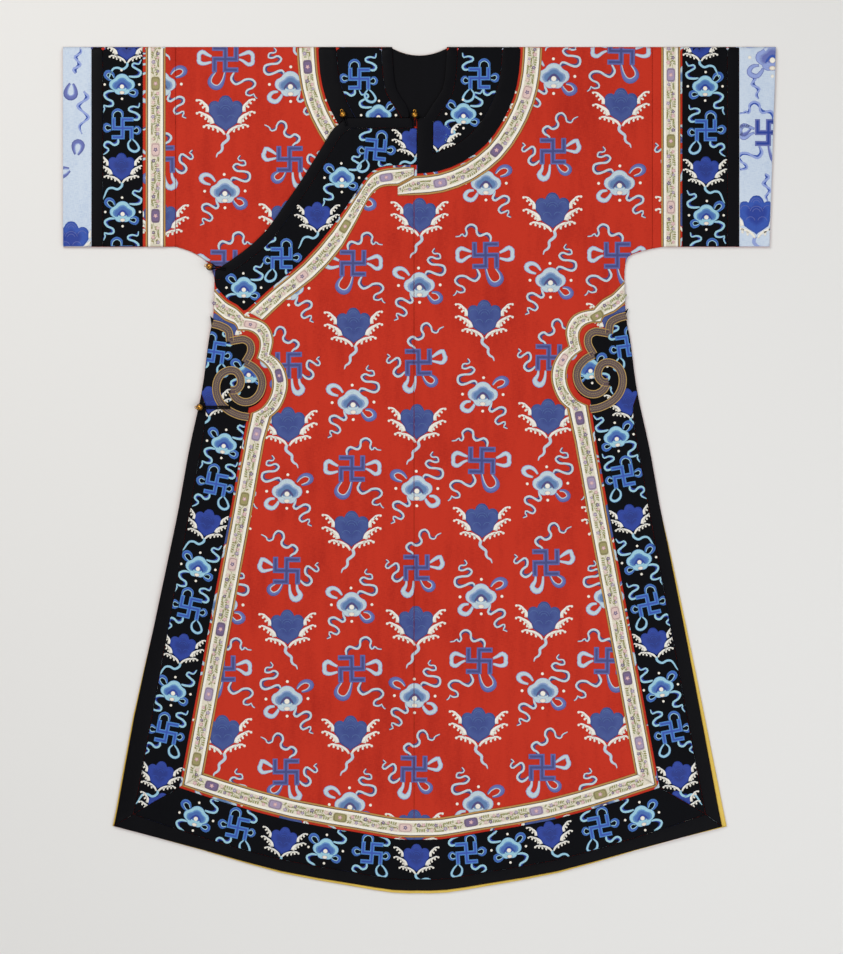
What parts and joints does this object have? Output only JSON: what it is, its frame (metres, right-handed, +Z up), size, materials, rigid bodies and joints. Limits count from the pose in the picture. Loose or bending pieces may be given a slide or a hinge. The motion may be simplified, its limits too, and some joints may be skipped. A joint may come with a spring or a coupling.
{
  "type": "informal court robe laid flat",
  "caption": "Full-length side-fastening robe with wide straight sleeves, laid flat, with a curved overlap front, ruyi heads at the side slits, bordered hem and sleeves, and ball buttons.",
  "frame": {"origin": "on the surface that the robe lies on, below the middle of its bounding box", "axes": "+Z up out of the robe's front, +Y towards the shoulders, +X towards the wearer's left sleeve"},
  "size_m": [1.1756, 1.3959, 0.0184],
  "materials": {
    "red_silk": "woven silk, soft sheen",
    "black_band": "woven silk band",
    "black_satin": "plain satin",
    "flowered_ribbon": "woven ribbon",
    "brown_braid": "metal thread braid",
    "blue_cuff": "woven silk",
    "yellow_lining": "plain silk",
    "gilt": "worn gilt"
  },
  "bodies": {
    "root": {"back_body": "red_silk", "front_left": "red_silk", "front_overlap": "red_silk", "under_flap": "red_silk", "sleeve_left": "red_silk", "sleeve_right": "red_silk", "band_collar_left": "black_band", "band_collar_right": "black_band", "band_lapel": "black_band", "band_side_left": "black_band", "band_side_right": "black_band", "band_hem": "black_band", "band_sleeve_left": "black_band", "band_sleeve_right": "black_band", "satin_collar_left": "black_satin", "satin_collar_right": "black_satin", "satin_neck_right": "black_satin", "satin_lapel": "black_satin", "satin_side_left": "black_satin", "satin_side_right": "black_satin", "satin_hem": "black_satin", "satin_sleeve_left": "black_satin", "satin_sleeve_right": "black_satin", "neck_facing": "black_satin", "ribbon_collar_left": "flowered_ribbon", "ribbon_collar_right": "flowered_ribbon", "ribbon_lapel": "flowered_ribbon", "ribbon_side_left": "flowered_ribbon", "ribbon_side_right": "flowered_ribbon", "ribbon_hem": "flowered_ribbon", "ribbon_sleeve_left": "flowered_ribbon", "ribbon_sleeve_right": "flowered_ribbon", "scroll_left": "brown_braid", "scroll_right": "brown_braid", "cuff_left": "blue_cuff", "cuff_right": "blue_cuff", "lining_side_left": "yellow_lining", "lining_side_right": "yellow_lining", "lining_hem": "yellow_lining", "button_neck": "gilt", "loop_neck": "black_satin", "button_clavicle": "gilt", "loop_clavicle": "black_satin", "button_underarm": "gilt", "loop_underarm": "black_satin", "button_side": "gilt", "loop_side": "black_satin"}
  },
  "joints": []
}
